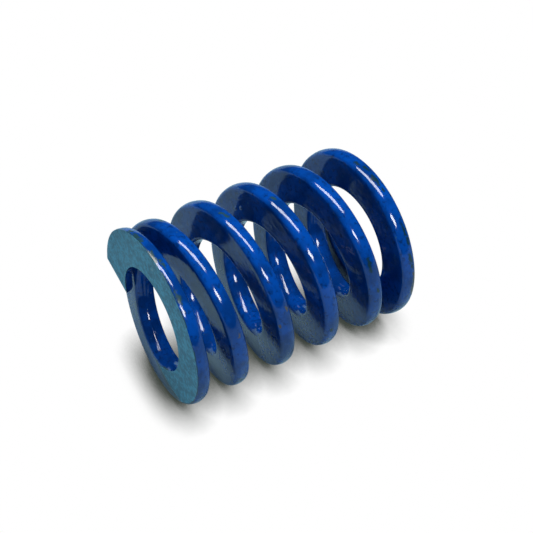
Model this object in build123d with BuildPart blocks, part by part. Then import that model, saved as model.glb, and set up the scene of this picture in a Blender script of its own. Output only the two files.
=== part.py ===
import os
from math import cos, pi, sin

from build123d import *

# Die spring: one flat-sided wire, wound right-handed, with closed and ground ends.
# Millimetres. Origin at the middle of the lower ground end, +Z along the coil's axis,
# +X through both wire tips.

# The coil
outside_diameter = 47.4  # of the active turns, which work in a 50 mm pocket
free_length = 64.0  # between the two ground ends
total_turns = 6.0  # from tip to tip

# The wire's section, as coiling leaves it: thicker at the inside than at the outside
wire_width = 10.1  # across both convex sides, measured along the coil's radius
outer_thickness = 4.2  # where the flats meet the outer convex side
inner_thickness = 5.4  # where the flats meet the inner convex side
outer_crown = 0.6  # how far the outer side bulges
inner_crown = 0.9  # how far the inner side bulges
flat_crown = 0.05  # how far the flats bulge

# The closed ends, alike top and bottom
closed_turns = 0.56  # wound at the low end pitch, counted from the tip
ramp_turns = 0.42  # in which the pitch rises from the end's to the active one
tip_thickness = 2.25  # of wire left at the tip by grinding
tip_gap = 0.2  # between the tip and the turn that it closes on
tip_spread = 0.5  # how far the sheared tip springs outwards
spread_turns = 0.6  # in which that spread fades out
shear_angle = 14.0  # degrees round the coil from the cut's inner edge to its outer edge

half_turn = 0.5
sections_per_turn = 36  # radial sections that the wire is lofted through
flat_strips = 4  # strips that each flat is made up of

# Worked out from the sizes above
mean_radius = (outside_diameter - wire_width) / 2
mid_thickness = (outer_thickness + inner_thickness) / 2
tip_height = tip_thickness - mid_thickness / 2  # of the wire's centre over the ground plane
end_turns = closed_turns + ramp_turns  # before the wire runs at the active pitch

# The two end planes, with the coil on the side that each one's z points to
lower_end = Plane.XY
upper_end = Plane((0, 0, free_length), x_dir=(1, 0, 0), z_dir=(0, 0, -1))


def smooth(share):
    """Ease from 0 to 1 with level ends."""
    share = min(max(share, 0.0), 1.0)
    return share**2 * (3 - 2 * share)


def turns_at_active_pitch(turns):
    """How much of the first turns, counted from a tip, is wound at the active pitch."""
    ramp = min(max((turns - closed_turns) / ramp_turns, 0.0), 1.0)
    return ramp_turns * (ramp**3 - ramp**4 / 2) + max(turns - end_turns, 0.0)


# Two conditions give the two pitches. The first turn rises by the wire and the tip gap, so
# the end closes on the next turn, and the whole coil rises to the free length.
first_rise = inner_thickness + tip_gap
whole_rise = free_length - 2 * tip_height
first_active = turns_at_active_pitch(1.0)
first_closed = 1.0 - first_active
whole_active = total_turns - closed_turns - end_turns
whole_closed = total_turns - whole_active
scale = first_closed * whole_active - first_active * whole_closed
end_pitch = (first_rise * whole_active - first_active * whole_rise) / scale
active_pitch = (first_closed * whole_rise - whole_closed * first_rise) / scale


def wire_centre(turns):
    """Radius and height of the wire's centre, so many turns from the lower tip."""
    from_tip = min(turns, total_turns - turns)
    radius = mean_radius + tip_spread * (1 - smooth(from_tip / spread_turns))
    rise = end_pitch * from_tip + (active_pitch - end_pitch) * turns_at_active_pitch(from_tip)
    height = tip_height + rise
    if turns > total_turns / 2:
        height = free_length - height
    return radius, height


def flat_points(side):
    """Points across one of the section's flats, from the inner side to the outer."""
    points = []
    for strip in range(flat_strips + 1):
        share = strip / flat_strips
        x = inner_crown - wire_width / 2 + share * (wire_width - inner_crown - outer_crown)
        y = (inner_thickness + share * (outer_thickness - inner_thickness)) / 2
        points.append((x, side * (y + 4 * flat_crown * share * (1 - share))))
    return points


def wire_section(turns):
    """The wire cut across by a plane through the coil's axis: two flats, two convex sides."""
    angle = 2 * pi * turns
    outward = Vector(cos(angle), sin(angle), 0)
    radius, height = wire_centre(turns)
    centre = outward * radius + Vector(0, 0, height)
    across = Plane(centre, x_dir=outward, z_dir=outward.cross(Vector(0, 0, 1)))
    upper = flat_points(1)
    lower = flat_points(-1)
    with BuildSketch(across) as section:
        with BuildLine():
            Polyline(*upper)
            ThreePointArc(upper[-1], (wire_width / 2, 0), lower[-1])
            Polyline(*lower)
            ThreePointArc(lower[0], (-wire_width / 2, 0), upper[0])
        make_face()
    return section.sketch


def sections_between(first, last):
    """Radial sections of the wire at even steps between two places along it."""
    steps = round((last - first) * sections_per_turn)
    return [wire_section(first + (last - first) * step / steps) for step in range(steps + 1)]


# The sheared end: the first half turn, cut off along a chord that starts at the tip's inner
# edge and reaches the outer edge by the shear angle further round
tip_radius, _ = wire_centre(0)
chord_start = Vector(tip_radius - wire_width / 2, 0, 0)
chord_end = Vector(tip_radius + wire_width / 2, 0, 0).rotate(Axis.Z, shear_angle)
chord = chord_end - chord_start
shear_plane = Plane(chord_start, x_dir=chord, z_dir=Vector(0, 0, 1).cross(chord))

with BuildPart() as sheared_end:
    loft(sections_between(0, half_turn), ruled=True)
    split(bisect_by=shear_plane, keep=Keep.TOP)

# The whole wire, with the same end turned over for the top, and both ends ground flat
turnover = Axis((0, 0, free_length / 2), (1, 0, 0))
with BuildPart() as coil_spring:
    loft(sections_between(half_turn, total_turns - half_turn), ruled=True)
    add(sheared_end.part)
    add(sheared_end.part.rotate(turnover, 180))
    for end_plane in (lower_end, upper_end):
        split(bisect_by=end_plane, keep=Keep.TOP)

coil_spring.part.label = "coil_spring"
os.makedirs("parts", exist_ok=True)
export_step(coil_spring.part, "parts/coil_spring.step")
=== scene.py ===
from math import cos, pi, radians, sin

import bmesh
import bpy
from mathutils import Matrix, Quaternion, Vector


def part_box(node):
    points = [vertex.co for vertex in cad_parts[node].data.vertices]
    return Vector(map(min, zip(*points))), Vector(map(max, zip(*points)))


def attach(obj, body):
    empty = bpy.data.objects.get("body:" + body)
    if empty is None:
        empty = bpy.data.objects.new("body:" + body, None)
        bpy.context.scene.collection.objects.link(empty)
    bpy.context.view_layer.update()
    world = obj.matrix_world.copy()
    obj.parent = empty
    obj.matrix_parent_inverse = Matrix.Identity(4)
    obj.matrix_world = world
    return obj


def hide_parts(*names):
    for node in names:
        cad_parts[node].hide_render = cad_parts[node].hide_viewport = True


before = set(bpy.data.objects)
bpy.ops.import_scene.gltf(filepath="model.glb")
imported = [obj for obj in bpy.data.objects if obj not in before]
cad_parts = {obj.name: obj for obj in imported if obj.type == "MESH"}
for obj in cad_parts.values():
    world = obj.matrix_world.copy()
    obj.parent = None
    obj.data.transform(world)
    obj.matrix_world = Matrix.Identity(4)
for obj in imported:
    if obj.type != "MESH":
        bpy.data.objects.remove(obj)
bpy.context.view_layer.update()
low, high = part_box("coil_spring")
freeLength = high.z - low.z
coilMiddle = Vector((0, 0, (low.z + high.z) / 2))
print("stage: frame loaded, free length", round(freeLength, 4))


# the wire and how it is wound; lengths in metres, places along it in turns from the lower tip
wire = {
    "outsideDiameter": 0.0474,
    "turns": 6.0,
    "width": 0.0101,
    "outerThickness": 0.0042,
    "innerThickness": 0.0054,
    "outerCrown": 0.0006,
    "innerCrown": 0.0009,
    "cornerRound": 0.00055,
    "closedTurns": 0.56,
    "rampTurns": 0.42,
    "tipThickness": 0.00225,
    "tipGap": 0.0002,
    "tipSpread": 0.0005,
    "spreadTurns": 0.6,
    "shearAngle": 14.0,
    "stepsPerTurn": 96,
}

meanRadius = (wire["outsideDiameter"] - wire["width"]) / 2
endTurns = wire["closedTurns"] + wire["rampTurns"]
tipHeight = wire["tipThickness"] - (wire["outerThickness"] + wire["innerThickness"]) / 4


def easeInOut(share):
    share = min(max(share, 0.0), 1.0)
    return share * share * (3 - 2 * share)


def turnsAtActivePitch(turns):
    ramp = min(max((turns - wire["closedTurns"]) / wire["rampTurns"], 0.0), 1.0)
    return wire["rampTurns"] * (ramp**3 - ramp**4 / 2) + max(turns - endTurns, 0.0)


def findPitches():  # the end closes on the next turn, and the whole coil reaches the free length
    firstRise = wire["innerThickness"] + wire["tipGap"]
    wholeRise = freeLength - 2 * tipHeight
    firstActive = turnsAtActivePitch(1.0)
    firstClosed = 1.0 - firstActive
    wholeActive = wire["turns"] - wire["closedTurns"] - endTurns
    wholeClosed = wire["turns"] - wholeActive
    scale = firstClosed * wholeActive - firstActive * wholeClosed
    closed = (firstRise * wholeActive - firstActive * wholeRise) / scale
    active = (firstClosed * wholeRise - wholeClosed * firstRise) / scale
    return closed, active


endPitch, activePitch = findPitches()


def wireHeight(turns):
    fromTip = min(turns, wire["turns"] - turns)
    height = tipHeight + endPitch * fromTip + (activePitch - endPitch) * turnsAtActivePitch(fromTip)
    return freeLength - height if turns > wire["turns"] / 2 else height


def tipOffset(turns):  # how far the sheared ends have sprung outwards
    fromTip = min(turns, wire["turns"] - turns)
    return wire["tipSpread"] * (1 - easeInOut(fromTip / wire["spreadTurns"]))


def drawSection(bm):
    # flats above and below, crowned sides in and out, rounded corners
    half = wire["width"] / 2
    innerX, outerX = wire["innerCrown"] - half, half - wire["outerCrown"]
    innerZ, outerZ = wire["innerThickness"] / 2, wire["outerThickness"] / 2
    corners = [bm.verts.new((meanRadius + x, 0, z)) for x, z in
               ((innerX, -innerZ), (outerX, -outerZ), (outerX, outerZ), (innerX, innerZ))]
    bm.faces.new(corners)
    bmesh.ops.bevel(bm, geom=bm.verts[:], offset=wire["cornerRound"], segments=5, profile=0.5,
                    affect="VERTICES", material=-1, clamp_overlap=True)
    for edge in [e for e in bm.edges if e.calc_length() > 0.002]:
        flat = abs(edge.verts[0].co.x - edge.verts[1].co.x) > 0.002
        bmesh.ops.subdivide_edges(bm, edges=[edge], cuts=5 if flat else 9)
    for vert in bm.verts:
        x = vert.co.x - meanRadius
        outward = min(max((x - outerX + wire["cornerRound"]) / wire["cornerRound"], 0), 1)
        inward = min(max((innerX + wire["cornerRound"] - x) / wire["cornerRound"], 0), 1)
        vert.co.x += outward * wire["outerCrown"] * (1 - (vert.co.z / outerZ) ** 2)
        vert.co.x -= inward * wire["innerCrown"] * (1 - (vert.co.z / innerZ) ** 2)
    return bm.faces[:]


def windCoil():
    bm = bmesh.new()
    place = bm.verts.layers.float_vector.new("wirePlace")  # metres along, across and up the wire
    section = drawSection(bm)
    for vert in bm.verts:
        vert[place] = (0, vert.co.x - meanRadius, vert.co.z)
        vert.co.z += wireHeight(0)
    steps = round(wire["turns"] * wire["stepsPerTurn"])
    ring = section + bm.edges[:] + bm.verts[:]
    for step in range(1, steps + 1):
        turns = wire["turns"] * step / steps
        rise = wireHeight(turns) - wireHeight(turns - wire["turns"] / steps)
        ring = bmesh.ops.spin(bm, geom=ring, cent=(0, 0, 0), axis=(0, 0, 1), dvec=(0, 0, rise),
                              angle=2 * pi * wire["turns"] / steps, steps=1, use_merge=False,
                              use_duplicate=False)["geom_last"]
        for vert in ring:
            if isinstance(vert, bmesh.types.BMVert):
                vert[place].x = turns * 2 * pi * meanRadius
    for vert in bm.verts:
        outward = Vector((vert.co.x, vert.co.y, 0)).normalized()
        vert.co += outward * tipOffset(vert[place].x / (2 * pi * meanRadius))
    return bm, place


def cutAway(bm, faces, planePoint, planeNormal, materialIndex):
    parts = set(faces)
    for face in faces:
        parts.update(face.edges)
        parts.update(face.verts)
    bmesh.ops.bisect_plane(bm, geom=list(parts), dist=1e-7, plane_co=planePoint, plane_no=planeNormal,
                           clear_outer=True)
    openEdges = [edge for edge in bm.edges if edge.is_boundary]
    filled = bmesh.ops.holes_fill(bm, edges=openEdges, sides=0)["faces"]
    for face in filled:
        face.material_index = materialIndex
    return filled


def shearTips(bm, place):
    tipRadius = meanRadius + tipOffset(0)
    inner = Vector((tipRadius - wire["width"] / 2, 0, 0))
    turned = radians(wire["shearAngle"])
    for side in (1, -1):  # lower tip, then the same one turned over for the upper
        outer = Vector((cos(turned), side * sin(turned), 0)) * (tipRadius + wire["width"] / 2)
        normal = (outer - inner).cross(Vector((0, 0, side)))
        middle = wire["turns"] / 2 * 2 * pi * meanRadius
        reach = middle - 0.2 * 2 * pi * meanRadius
        faces = [f for f in bm.faces if all(side * (middle - v[place].x) > reach for v in f.verts)]
        cutAway(bm, faces, inner, normal, 2)


def grindEnds(bm):
    cutAway(bm, bm.faces[:], low, Vector((0, 0, -1)), 1)
    cutAway(bm, bm.faces[:], high, Vector((0, 0, 1)), 1)


def makeCoil():
    bm, place = windCoil()
    shearTips(bm, place)
    grindEnds(bm)
    bmesh.ops.recalc_face_normals(bm, faces=bm.faces[:])
    for face in bm.faces:
        face.smooth = True
    for edge in bm.edges:
        edge.smooth = len(edge.link_faces) == 2 and edge.calc_face_angle(0) < radians(28)
    mesh = bpy.data.meshes.new("springWire")
    bm.to_mesh(mesh)
    bm.free()
    coil = bpy.data.objects.new("springWire", mesh)
    bpy.context.scene.collection.objects.link(coil)
    return coil


coil = makeCoil()
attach(coil, "root")
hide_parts("coil_spring")
print("stage: coil wound,", len(coil.data.polygons), "faces")


def feed(tree, socket, value):  # another node's output is linked, a plain value is set
    if isinstance(value, bpy.types.NodeSocket):
        tree.links.new(value, socket)
    else:
        socket.default_value = value


def addNode(tree, kind, inputs, **settings):
    node = tree.nodes.new("ShaderNode" + kind)
    for name, value in settings.items():
        setattr(node, name, value)
    for name, value in inputs.items():
        feed(tree, node.inputs[name], value)
    return node


def calc(tree, operation, first, second=0.0, clamp=False):
    return addNode(tree, "Math", {0: first, 1: second}, operation=operation, use_clamp=clamp).outputs[0]


def blend(tree, share, first, second):
    inputs = {"Factor": share, "A": first, "B": second}
    return addNode(tree, "Mix", inputs, data_type="RGBA").outputs["Result"]


def fade(tree, value, start, end):  # 0 at start, 1 at end, eased between
    return addNode(tree, "MapRange", {"Value": value, "From Min": start, "From Max": end},
                   interpolation_type="SMOOTHSTEP").outputs["Result"]


def newGroup(name, inputs, output):
    tree = bpy.data.node_groups.new(name, "ShaderNodeTree")
    for label, kind in inputs.items():
        tree.interface.new_socket(name=label, in_out="INPUT", socket_type="NodeSocket" + kind)
    tree.interface.new_socket(name=output, in_out="OUTPUT", socket_type="NodeSocketFloat")
    return tree, tree.nodes.new("NodeGroupInput").outputs, tree.nodes.new("NodeGroupOutput").inputs[output]


def buildMottle():  # soft uneven patches, for tone, dirt and gloss
    sockets = {"Place": "Vector", "Scale": "Float", "Low": "Float", "High": "Float"}
    tree, given, mask = newGroup("mottle", sockets, "Mask")
    noise = addNode(tree, "TexNoise", {"Vector": given["Place"], "Scale": given["Scale"], "Detail": 4.0,
                                       "Roughness": 0.6})
    tree.links.new(fade(tree, noise.outputs[0], given["Low"], given["High"]), mask)
    return tree


def buildSpecks():  # small round grains, only in a share of the cells
    tree, given, mask = newGroup("specks", {"Place": "Vector", "Scale": "Float", "Share": "Float"}, "Mask")
    cells = addNode(tree, "TexVoronoi", {"Vector": given["Place"], "Scale": given["Scale"]})
    chance = addNode(tree, "SeparateColor", {0: cells.outputs["Color"]})
    chosen = calc(tree, "LESS_THAN", chance.outputs[0], given["Share"])
    reach = calc(tree, "MULTIPLY", chance.outputs[1], 0.34)
    grain = fade(tree, cells.outputs["Distance"], reach, calc(tree, "MULTIPLY", reach, 0.5))
    tree.links.new(calc(tree, "MULTIPLY", chosen, grain), mask)
    return tree


def buildRelief():  # waves or scratches, long where the stretch is small
    sockets = {"Place": "Vector", "Stretch": "Vector", "Detail": "Float"}
    tree, given, height = newGroup("relief", sockets, "Height")
    stretched = addNode(tree, "VectorMath", {0: given["Place"], 1: given["Stretch"]}, operation="MULTIPLY")
    inputs = {"Vector": stretched.outputs[0], "Scale": 1.0, "Detail": given["Detail"]}
    noise = addNode(tree, "TexNoise", inputs)
    tree.links.new(noise.outputs[0], height)
    return tree


def buildMark():  # one mark on the wire, with a ragged edge
    sockets = {"Place": "Vector", "Centre": "Vector", "Size": "Vector", "Edge": "Float"}
    tree, given, mask = newGroup("wireMark", sockets, "Mask")
    away = addNode(tree, "VectorMath", {0: given["Place"], 1: given["Centre"]}, operation="SUBTRACT")
    shares = addNode(tree, "VectorMath", {0: away.outputs[0], 1: given["Size"]}, operation="DIVIDE")
    distance = addNode(tree, "VectorMath", {0: shares.outputs[0]}, operation="LENGTH").outputs["Value"]
    tree.links.new(fade(tree, calc(tree, "ADD", distance, given["Edge"]), 1.35, 0.6), mask)
    return tree


mottle, specks, relief, wireMark = buildMottle(), buildSpecks(), buildRelief(), buildMark()


def useGroup(tree, group, **inputs):
    return addNode(tree, "Group", inputs, node_tree=group).outputs[0]


def wirePlaceOf(tree):
    return addNode(tree, "Attribute", {}, attribute_name="wirePlace").outputs["Vector"]


def objectPlaceOf(tree):
    return addNode(tree, "TexCoord", {}).outputs["Object"]


def bumpFrom(tree, shader, height, distance):
    bump = addNode(tree, "Bump", {"Height": height, "Distance": distance, "Strength": 1.0})
    tree.links.new(bump.outputs["Normal"], shader.inputs["Normal"])


def newMaterial(name):
    material = bpy.data.materials.new(name)
    material.use_nodes = True
    tree = material.node_tree
    shader = tree.nodes["Principled BSDF"]
    return material, tree, shader


paintLook = {
    "blue": (0.0003, 0.062, 0.37, 1),
    "thinBlue": (0.0002, 0.018, 0.10, 1),
    "stain": (0.016, 0.06, 0.05, 1),
    "rust": (0.08, 0.075, 0.045, 1),
    "speck": (0.003, 0.028, 0.03, 1),
    "dust": (0.03, 0.12, 0.19, 1),
    "roughness": 0.085,
    "wornRoughness": 0.26,
    "rimWear": 0.0004,
    "markStrength": 0.88,
    "bumpDepth": 0.00005,
}

# marks on the wire: turns from the lower tip, then in millimetres the place across and up the wire,
# half the mark's length and half its width
marks = {
    "stain": [(5.785, 5.0, -0.1, 0.8, 0.5), (5.761, 5.0, 0.1, 1.3, 0.8), (5.745, 5.0, 0.3, 1.0, 0.7),
              (5.706, 5.0, 0.3, 1.2, 0.6), (5.696, 5.0, 0.5, 1.3, 0.5), (5.682, 5.0, -0.4, 1.1, 0.7),
              (5.62, 5.0, 0.2, 1.4, 0.5), (4.79, 4.9, -0.9, 1.3, 0.5), (3.735, 5.0, 0.1, 0.9, 0.6),
              (3.724, 5.0, -0.2, 0.7, 0.6), (2.721, 5.0, -0.2, 0.8, 0.5)],
    "rust": [(5.696, 4.9, 1.0, 1.4, 0.4), (3.531, 4.9, -1.1, 0.6, 0.5), (4.521, 5.0, -0.5, 0.5, 0.4),
             (0.478, 4.9, -1.2, 2.2, 0.5), (0.452, 4.9, -0.9, 1.4, 0.5), (3.503, 4.6, 1.7, 0.4, 0.4)],
    "speck": [(0.724, 5.0, 0.5, 0.9, 0.5), (0.704, 5.0, -0.4, 0.8, 0.5), (0.68, 5.0, -0.2, 0.9, 0.7),
              (0.669, 5.0, -0.2, 0.8, 0.6), (0.654, 5.0, -0.3, 0.7, 0.4), (0.574, 5.0, -0.7, 1.3, 0.4),
              (0.557, 5.0, -0.9, 1.6, 0.5), (0.525, 5.0, -0.5, 1.2, 0.7), (0.507, 5.0, -0.7, 1.0, 0.5),
              (1.549, 5.0, 0.3, 1.0, 0.5), (1.538, 5.0, 0.4, 1.1, 0.5), (1.49, 5.0, -0.4, 0.8, 0.5),
              (2.44, 5.0, 0.6, 0.8, 0.4), (4.4, 5.0, 0.2, 0.9, 0.5), (1.02, 5.0, 0.3, 1.1, 0.6)],
    "blister": [(2.836, -0.8, 2.4, 1.0, 0.5), (2.81, -0.8, 2.4, 0.8, 0.5), (5.784, 5.0, -0.5, 0.5, 0.45)],
}


def marksOf(tree, place, edge, kind):
    whole = 0.0
    for turns, across, lift, length, width in marks[kind]:
        centre = (turns * 2 * pi * meanRadius, across / 1000, lift / 1000)
        size = (length / 1000, width / 1000, width / 1000)
        mark = useGroup(tree, wireMark, Place=place, Centre=centre, Size=size, Edge=edge)
        whole = calc(tree, "MAXIMUM", whole, mark)
    return whole


def rimOf(tree, place):  # how near the paint is to a ground face, broken up along the edge
    up = addNode(tree, "SeparateXYZ", {0: place}).outputs["Z"]
    gap = calc(tree, "MINIMUM", calc(tree, "SUBTRACT", up, low.z), calc(tree, "SUBTRACT", high.z, up))
    rim = fade(tree, gap, paintLook["rimWear"], paintLook["rimWear"] * 0.3)
    return calc(tree, "MULTIPLY", rim, useGroup(tree, mottle, Place=place, Scale=260.0, Low=0.36, High=0.56))


def makePaint():
    material, tree, shader = newMaterial("bluePaint")
    onWire, inSpace = wirePlaceOf(tree), objectPlaceOf(tree)
    broad = useGroup(tree, mottle, Place=onWire, Scale=150.0, Low=0.42, High=0.62)
    fine = useGroup(tree, mottle, Place=onWire, Scale=800.0, Low=0.5, High=0.66)
    thin = calc(tree, "MAXIMUM", calc(tree, "MULTIPLY", broad, 0.6), calc(tree, "MULTIPLY", fine, 0.75))
    colour = blend(tree, thin, paintLook["blue"], paintLook["thinBlue"])
    dust = useGroup(tree, specks, Place=onWire, Scale=900.0, Share=0.09)
    colour = blend(tree, calc(tree, "MULTIPLY", dust, 0.6), colour, paintLook["dust"])
    ragged = addNode(tree, "TexNoise", {"Vector": onWire, "Scale": 1500.0, "Detail": 3.0})
    edge = calc(tree, "MULTIPLY", calc(tree, "SUBTRACT", ragged.outputs[0], 0.46), 3.2)
    rim = rimOf(tree, inSpace)
    worn = rim
    for kind in ("stain", "rust", "speck"):
        mark = marksOf(tree, onWire, edge, kind)
        if kind == "stain":
            mark = calc(tree, "MAXIMUM", mark, rim)
        colour = blend(tree, calc(tree, "MULTIPLY", mark, paintLook["markStrength"]), colour, paintLook[kind])
        worn = calc(tree, "MAXIMUM", worn, mark)
    blister = marksOf(tree, onWire, calc(tree, "MULTIPLY", edge, 0.4), "blister")
    tree.links.new(colour, shader.inputs["Base Color"])
    gloss = calc(tree, "MULTIPLY_ADD", fine, 0.03)
    gloss.node.inputs[2].default_value = paintLook["roughness"]
    tree.links.new(calc(tree, "MAXIMUM", gloss, calc(tree, "MULTIPLY", worn, paintLook["wornRoughness"])),
                   shader.inputs["Roughness"])
    peel = useGroup(tree, relief, Place=onWire, Stretch=(420.0, 900.0, 900.0), Detail=1.5)
    drawn = useGroup(tree, relief, Place=onWire, Stretch=(50.0, 1500.0, 1500.0), Detail=1.0)
    height = calc(tree, "ADD", calc(tree, "MULTIPLY", peel, 0.75), calc(tree, "MULTIPLY", drawn, 0.2))
    height = calc(tree, "ADD", height, calc(tree, "MULTIPLY", dust, 0.15))
    height = calc(tree, "SUBTRACT", height, calc(tree, "MULTIPLY", worn, 0.25))
    height = calc(tree, "ADD", height, calc(tree, "MULTIPLY", blister, 1.6))
    bumpFrom(tree, shader, height, paintLook["bumpDepth"])
    return material


steelLook = {
    "ground": (0.01, 0.11, 0.19, 1),
    "groundPale": (0.16, 0.5, 0.68, 1),
    "sheared": (0.12, 0.16, 0.18, 1),
    "shearedDark": (0.04, 0.05, 0.055, 1),
    "pit": (0.02, 0.06, 0.08, 1),
    "nick": (0.35, 0.5, 0.55, 1),
    "metallic": 0.6,
    "roughness": 0.42,
    "shearedRoughness": 0.55,
    "groundDepth": 0.00002,
    "shearedDepth": 0.00006,
    "nicks": [(5.705, 0.4), (5.703, 1.2)],  # turns from the lower tip and millimetres across
    "nickSize": (0.0005, 0.0004, 0.003),
    "nickLift": 0.0008,
}


def makeGround():
    material, tree, shader = newMaterial("groundSteel")
    place = objectPlaceOf(tree)
    grain = useGroup(tree, mottle, Place=place, Scale=900.0, Low=0.42, High=0.6)
    cloudy = useGroup(tree, mottle, Place=place, Scale=120.0, Low=0.3, High=0.75)
    lines = useGroup(tree, relief, Place=place, Stretch=(260.0, 3200.0, 260.0), Detail=2.0)
    share = calc(tree, "ADD", calc(tree, "MULTIPLY", grain, 0.55), calc(tree, "MULTIPLY", cloudy, 0.25))
    share = calc(tree, "ADD", share, calc(tree, "MULTIPLY", lines, 0.25), clamp=True)
    colour = blend(tree, share, steelLook["ground"], steelLook["groundPale"])
    pits = useGroup(tree, specks, Place=place, Scale=1300.0, Share=0.16)
    colour = blend(tree, calc(tree, "MULTIPLY", pits, 0.7), colour, steelLook["pit"])
    nicks = 0.0
    onWire = wirePlaceOf(tree)
    for turns, across in steelLook["nicks"]:
        centre = (turns * 2 * pi * meanRadius, across / 1000, steelLook["nickLift"])
        nick = useGroup(tree, wireMark, Place=onWire, Centre=centre, Size=steelLook["nickSize"], Edge=0.0)
        nicks = calc(tree, "MAXIMUM", nicks, nick)
    colour = blend(tree, calc(tree, "MULTIPLY", nicks, 0.5), colour, steelLook["nick"])
    tree.links.new(colour, shader.inputs["Base Color"])
    shader.inputs["Metallic"].default_value = steelLook["metallic"]
    gloss = calc(tree, "MULTIPLY_ADD", grain, 0.14)
    gloss.node.inputs[2].default_value = steelLook["roughness"]
    tree.links.new(gloss, shader.inputs["Roughness"])
    height = calc(tree, "ADD", calc(tree, "MULTIPLY", grain, 0.3), calc(tree, "MULTIPLY", lines, 0.5))
    height = calc(tree, "SUBTRACT", height, calc(tree, "ADD", pits, calc(tree, "MULTIPLY", nicks, 6.0)))
    bumpFrom(tree, shader, height, steelLook["groundDepth"])
    return material


def makeSheared():
    material, tree, shader = newMaterial("shearedSteel")
    place = objectPlaceOf(tree)
    torn = useGroup(tree, relief, Place=place, Stretch=(2600.0, 2600.0, 300.0), Detail=3.0)
    patches = useGroup(tree, mottle, Place=place, Scale=500.0, Low=0.35, High=0.65)
    share = calc(tree, "MULTIPLY", torn, patches)
    colour = blend(tree, share, steelLook["sheared"], steelLook["shearedDark"])
    pits = useGroup(tree, specks, Place=place, Scale=1100.0, Share=0.25)
    colour = blend(tree, calc(tree, "MULTIPLY", pits, 0.6), colour, steelLook["pit"])
    tree.links.new(colour, shader.inputs["Base Color"])
    shader.inputs["Metallic"].default_value = steelLook["metallic"]
    shader.inputs["Roughness"].default_value = steelLook["shearedRoughness"]
    bumpFrom(tree, shader, torn, steelLook["shearedDepth"])
    return material


for material in (makePaint(), makeGround(), makeSheared()):
    coil.data.materials.append(material)
print("stage: paint and bare steel made")


# the spring lies on its side, so the floor touches the side of the coil; lengths in metres
floorLook = {
    "up": (-0.1829, -0.9831, 0.0),
    "gap": 0.02405,
    "size": 3.0,
    "grey": (0.3, 0.3, 0.3, 1),
    "mirrored": (0.29, 0.47, 0.54, 1),
    "shadowReach": 0.009,
    "shadowTone": (0.05, 0.06, 0.05, 1),
    "shadowFrom": 0.55,
    "shadowTo": 0.95,
}


def makeFloor():
    up = Vector(floorLook["up"]).normalized()
    bm = bmesh.new()
    bmesh.ops.create_grid(bm, x_segments=1, y_segments=1, size=floorLook["size"] / 2)
    turn = up.to_track_quat("Z", "Y").to_matrix()
    bmesh.ops.rotate(bm, verts=bm.verts[:], cent=(0, 0, 0), matrix=turn)
    bmesh.ops.translate(bm, verts=bm.verts[:], vec=coilMiddle - up * floorLook["gap"])
    mesh = bpy.data.meshes.new("floor")
    bm.to_mesh(mesh)
    bm.free()
    floor = bpy.data.objects.new("floor", mesh)
    bpy.context.scene.collection.objects.link(floor)
    material = bpy.data.materials.new("paleFloor")
    material.use_nodes = True
    tree = material.node_tree
    tree.nodes.clear()
    lightPath = tree.nodes.new("ShaderNodeLightPath")
    geometry = tree.nodes.new("ShaderNodeNewGeometry")
    # seen straight on it is white, and darkens only close to the spring
    shade = tree.nodes.new("ShaderNodeAmbientOcclusion")
    shade.samples = 16
    shade.inputs["Distance"].default_value = floorLook["shadowReach"]
    falloff = tree.nodes.new("ShaderNodeValToRGB")
    falloff.color_ramp.elements[0].color = floorLook["shadowTone"]
    falloff.color_ramp.elements[0].position = floorLook["shadowFrom"]
    falloff.color_ramp.elements[1].color = (1, 1, 1, 1)
    falloff.color_ramp.elements[1].position = floorLook["shadowTo"]
    tree.links.new(shade.outputs["AO"], falloff.inputs["Fac"])
    seen = tree.nodes.new("ShaderNodeEmission")
    tree.links.new(falloff.outputs["Color"], seen.inputs["Color"])
    # to the spring it is a plain grey floor, a little brighter in its gloss
    tone = tree.nodes.new("ShaderNodeMix")
    tone.data_type = "RGBA"
    tone.inputs["A"].default_value = floorLook["grey"]
    tone.inputs["B"].default_value = floorLook["mirrored"]
    tree.links.new(lightPath.outputs["Is Glossy Ray"], tone.inputs["Factor"])
    diffuse = tree.nodes.new("ShaderNodeBsdfDiffuse")
    tree.links.new(tone.outputs["Result"], diffuse.inputs["Color"])
    both = tree.nodes.new("ShaderNodeMixShader")
    tree.links.new(lightPath.outputs["Is Camera Ray"], both.inputs[0])
    tree.links.new(diffuse.outputs[0], both.inputs[1])
    tree.links.new(seen.outputs[0], both.inputs[2])
    clear = tree.nodes.new("ShaderNodeBsdfTransparent")
    oneSided = tree.nodes.new("ShaderNodeMixShader")
    tree.links.new(geometry.outputs["Backfacing"], oneSided.inputs[0])
    tree.links.new(both.outputs[0], oneSided.inputs[1])
    tree.links.new(clear.outputs[0], oneSided.inputs[2])
    output = tree.nodes.new("ShaderNodeOutputMaterial")
    tree.links.new(oneSided.outputs[0], output.inputs["Surface"])
    mesh.materials.append(material)
    return floor


makeFloor()
print("stage: floor laid")


# each lamp: the way to it from the coil, its distance, its long and short side and its strength
lamps = {
    "longLamp": {"toward": (-0.043, -0.998, -0.051), "along": (0.785, -0.046, 0.286),
                 "distance": 1.2, "sides": (1.12, 0.30), "power": 15.0},
    "nearLamp": {"toward": (-0.848, -0.530, 0.006), "along": (0.114, -0.181, 0.134),
                 "distance": 1.2, "sides": (0.30, 0.24), "power": 5.0},
}


def hangLamp(name, values):
    back = Vector(values["toward"]).normalized()
    along = Vector(values["along"])
    side = (along - back * along.dot(back)).normalized()
    up = back.cross(side)
    data = bpy.data.lights.new(name, "AREA")
    data.shape = "RECTANGLE"
    data.size, data.size_y = values["sides"]
    data.energy = values["power"]
    lamp = bpy.data.objects.new(name, data)
    lamp.matrix_world = Matrix.Translation(coilMiddle + back * values["distance"]) @ \
        Matrix((side, up, back)).transposed().to_4x4()
    bpy.context.scene.collection.objects.link(lamp)


for name, values in lamps.items():
    hangLamp(name, values)

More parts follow.
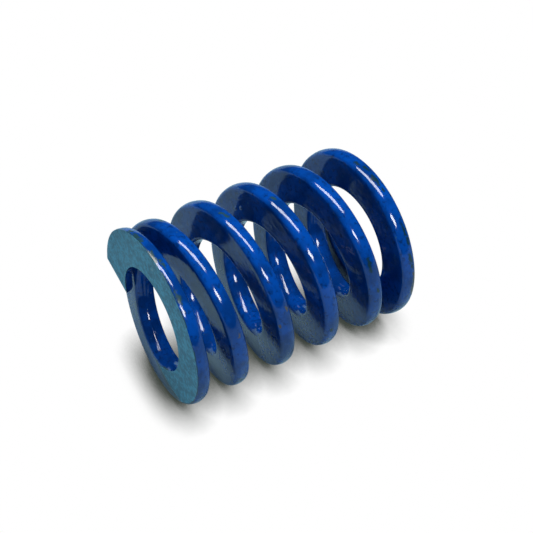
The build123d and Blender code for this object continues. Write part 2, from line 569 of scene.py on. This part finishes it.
# what the room sheds on the spring, what its gloss mirrors and what is seen behind it
room = {"glow": (0.14, 0.14, 0.145, 1), "mirrored": (0.02, 0.025, 0.03, 1), "white": (1, 1, 1, 1)}


def fillRoom():
    world = bpy.data.worlds.new("studio")
    bpy.context.scene.world = world
    world.use_nodes = True
    tree = world.node_tree
    background = tree.nodes["Background"]
    lightPath = tree.nodes.new("ShaderNodeLightPath")
    tone = None
    for ray, colour in (("Is Glossy Ray", room["mirrored"]), ("Is Camera Ray", room["white"])):
        mix = tree.nodes.new("ShaderNodeMix")
        mix.data_type = "RGBA"
        mix.inputs["A"].default_value = room["glow"]
        mix.inputs["B"].default_value = colour
        tree.links.new(lightPath.outputs[ray], mix.inputs["Factor"])
        if tone:
            tree.links.new(tone.outputs["Result"], mix.inputs["A"])
        tone = mix
    tree.links.new(tone.outputs["Result"], background.inputs["Color"])


fillRoom()
print("stage: lamps and room lit")


# the camera, as seen from the coil's middle; angles in degrees, offsets in metres
view = {
    "azimuth": -142.08,
    "elevation": 22.2,
    "roll": -113.1,
    "distance": 0.3555,
    "lens": 92.72,
    "sensor": 36.0,
    "offset": (-0.00152, -0.00155),
}


def placeCamera():
    azimuth, elevation = radians(view["azimuth"]), radians(view["elevation"])
    back = Vector((cos(azimuth) * cos(elevation), sin(azimuth) * cos(elevation), sin(elevation)))
    turn = back.to_track_quat("Z", "Y") @ Quaternion((0, 0, 1), radians(view["roll"]))
    right, up = turn @ Vector((1, 0, 0)), turn @ Vector((0, 1, 0))
    data = bpy.data.cameras.new("camera")
    data.lens = view["lens"]
    data.sensor_width = view["sensor"]
    data.clip_start = 0.01
    camera = bpy.data.objects.new("camera", data)
    bpy.context.scene.collection.objects.link(camera)
    camera.rotation_mode = "QUATERNION"
    camera.rotation_quaternion = turn
    sideways, upwards = view["offset"]
    camera.location = coilMiddle + back * view["distance"] - right * sideways - up * upwards
    bpy.context.scene.camera = camera


placeCamera()
bpy.context.scene.view_settings.view_transform = "Standard"
print("stage: camera placed")
